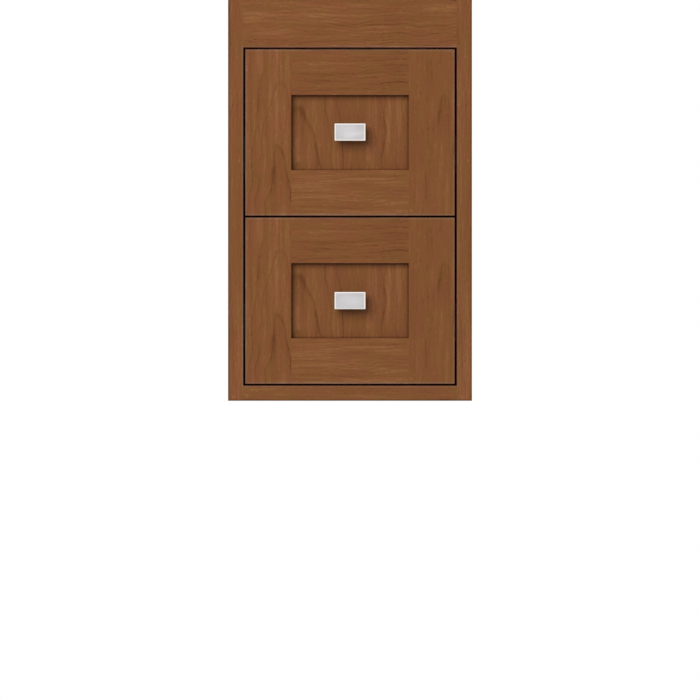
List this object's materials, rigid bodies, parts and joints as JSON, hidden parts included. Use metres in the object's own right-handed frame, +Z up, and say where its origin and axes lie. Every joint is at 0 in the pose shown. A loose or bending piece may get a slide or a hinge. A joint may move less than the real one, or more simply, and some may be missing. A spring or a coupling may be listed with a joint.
{
  "type": "wall-mounted drawer bank",
  "caption": "Wall-hung wooden cabinet with a face frame, plain apron and inset recessed-panel drawers on full-extension ball-bearing slides, with rectangular metal knobs.",
  "frame": {"origin": "middle of the back, on the wall, at the centre of the wall-screw pattern", "axes": "+X to the right across the front, +Y into the wall, +Z up"},
  "size_m": [0.3048, 0.4667, 0.5016],
  "materials": {
    "stained_wood": "brown stain under satin lacquer",
    "stained_plywood": "brown stain under satin lacquer on plywood",
    "clear_wood": "clear satin lacquer",
    "clear_plywood": "clear satin lacquer on plywood",
    "dowel_wood": "bare beech",
    "zinc_steel": "bright zinc plating",
    "black_steel": "black electro-coat",
    "satin_nickel": "satin nickel plating",
    "black_plastic": "matte",
    "black_rubber": "matte"
  },
  "bodies": {
    "cabinet": {"left_side_panel": "stained_wood", "right_side_panel": "stained_wood", "case_floor": "stained_plywood", "back_panel": "stained_plywood", "left_frame_stile": "stained_wood", "right_frame_stile": "stained_wood", "apron": "stained_wood", "bottom_frame_rail": "stained_wood", "front_top_stretcher": "stained_wood", "rear_top_stretcher": "stained_wood", "upper_hanging_rail": "stained_wood", "lower_hanging_rail": "stained_wood", "case_dowels": "dowel_wood", "frame_dowels": "dowel_wood", "slide_bumpers": "black_rubber", "outer_rail_screws": "zinc_steel", "lower_left_outer_rail": "black_steel", "lower_right_outer_rail": "black_steel", "upper_left_outer_rail": "black_steel", "upper_right_outer_rail": "black_steel"},
    "lower_drawer": {"lower_front_left_stile": "stained_wood", "lower_front_right_stile": "stained_wood", "lower_front_top_rail": "stained_wood", "lower_front_bottom_rail": "stained_wood", "lower_front_panel": "stained_wood", "lower_box_left_side": "clear_wood", "lower_box_right_side": "clear_wood", "lower_box_front": "clear_wood", "lower_box_back": "clear_wood", "lower_box_bottom": "clear_plywood", "lower_knob": "satin_nickel", "lower_knob_screw": "zinc_steel", "lower_front_screws": "zinc_steel", "lower_inner_rails": "black_steel", "lower_inner_rail_screws": "zinc_steel"},
    "lower_middle_rails_group": {"lower_middle_rails": "black_steel"},
    "lower_outer_ball_cages_group": {"lower_outer_ball_cages": "zinc_steel"},
    "lower_inner_ball_cages_group": {"lower_inner_ball_cages": "zinc_steel"},
    "lower_left_release_lever_group": {"lower_left_release_lever": "black_plastic"},
    "lower_right_release_lever_group": {"lower_right_release_lever": "black_plastic"},
    "upper_drawer": {"upper_front_left_stile": "stained_wood", "upper_front_right_stile": "stained_wood", "upper_front_top_rail": "stained_wood", "upper_front_bottom_rail": "stained_wood", "upper_front_panel": "stained_wood", "upper_box_left_side": "clear_wood", "upper_box_right_side": "clear_wood", "upper_box_front": "clear_wood", "upper_box_back": "clear_wood", "upper_box_bottom": "clear_plywood", "upper_knob": "satin_nickel", "upper_knob_screw": "zinc_steel", "upper_front_screws": "zinc_steel", "upper_inner_rails": "black_steel", "upper_inner_rail_screws": "zinc_steel"},
    "upper_middle_rails_group": {"upper_middle_rails": "black_steel"},
    "upper_outer_ball_cages_group": {"upper_outer_ball_cages": "zinc_steel"},
    "upper_inner_ball_cages_group": {"upper_inner_ball_cages": "zinc_steel"},
    "upper_left_release_lever_group": {"upper_left_release_lever": "black_plastic"},
    "upper_right_release_lever_group": {"upper_right_release_lever": "black_plastic"}
  },
  "joints": [
    {"name": "lower_drawer_slide", "type": "slide", "parent": "cabinet", "child": "lower_drawer", "axis": [0, -1, 0], "range_m": [0, 0.38]},
    {"name": "lower_middle_rails_slide", "type": "slide", "parent": "cabinet", "child": "lower_middle_rails_group", "axis": [0, -1, 0], "range_m": [0, 0.19]},
    {"name": "lower_outer_ball_cages_slide", "type": "slide", "parent": "cabinet", "child": "lower_outer_ball_cages_group", "axis": [0, -1, 0], "range_m": [0, 0.095]},
    {"name": "lower_inner_ball_cages_slide", "type": "slide", "parent": "cabinet", "child": "lower_inner_ball_cages_group", "axis": [0, -1, 0], "range_m": [0, 0.285]},
    {"name": "lower_left_release_lever_tilt", "type": "hinge", "parent": "lower_drawer", "child": "lower_left_release_lever_group", "pos_m": [-0.1253, -0.30301, -0.15191], "axis": [1, 0, 0], "range_deg": [0, 8], "stiffness_Nm_per_rad": 0.05, "springref_deg": -2.86},
    {"name": "lower_right_release_lever_tilt", "type": "hinge", "parent": "lower_drawer", "child": "lower_right_release_lever_group", "pos_m": [0.1253, -0.30301, -0.15191], "axis": [1, 0, 0], "range_deg": [0, 8], "stiffness_Nm_per_rad": 0.05, "springref_deg": -2.86},
    {"name": "upper_drawer_slide", "type": "slide", "parent": "cabinet", "child": "upper_drawer", "axis": [0, -1, 0], "range_m": [0, 0.38]},
    {"name": "upper_middle_rails_slide", "type": "slide", "parent": "cabinet", "child": "upper_middle_rails_group", "axis": [0, -1, 0], "range_m": [0, 0.19]},
    {"name": "upper_outer_ball_cages_slide", "type": "slide", "parent": "cabinet", "child": "upper_outer_ball_cages_group", "axis": [0, -1, 0], "range_m": [0, 0.095]},
    {"name": "upper_inner_ball_cages_slide", "type": "slide", "parent": "cabinet", "child": "upper_inner_ball_cages_group", "axis": [0, -1, 0], "range_m": [0, 0.285]},
    {"name": "upper_left_release_lever_tilt", "type": "hinge", "parent": "upper_drawer", "child": "upper_left_release_lever_group", "pos_m": [-0.1253, -0.30301, 0.05829], "axis": [1, 0, 0], "range_deg": [0, 8], "stiffness_Nm_per_rad": 0.05, "springref_deg": -2.86},
    {"name": "upper_right_release_lever_tilt", "type": "hinge", "parent": "upper_drawer", "child": "upper_right_release_lever_group", "pos_m": [0.1253, -0.30301, 0.05829], "axis": [1, 0, 0], "range_deg": [0, 8], "stiffness_Nm_per_rad": 0.05, "springref_deg": -2.86}
  ],
  "couplings": [
    {"joint": "lower_middle_rails_slide", "follows": "lower_drawer_slide", "ratio": 0.5},
    {"joint": "lower_outer_ball_cages_slide", "follows": "lower_drawer_slide", "ratio": 0.25},
    {"joint": "lower_inner_ball_cages_slide", "follows": "lower_drawer_slide", "ratio": 0.75},
    {"joint": "upper_middle_rails_slide", "follows": "upper_drawer_slide", "ratio": 0.5},
    {"joint": "upper_outer_ball_cages_slide", "follows": "upper_drawer_slide", "ratio": 0.25},
    {"joint": "upper_inner_ball_cages_slide", "follows": "upper_drawer_slide", "ratio": 0.75}
  ]
}
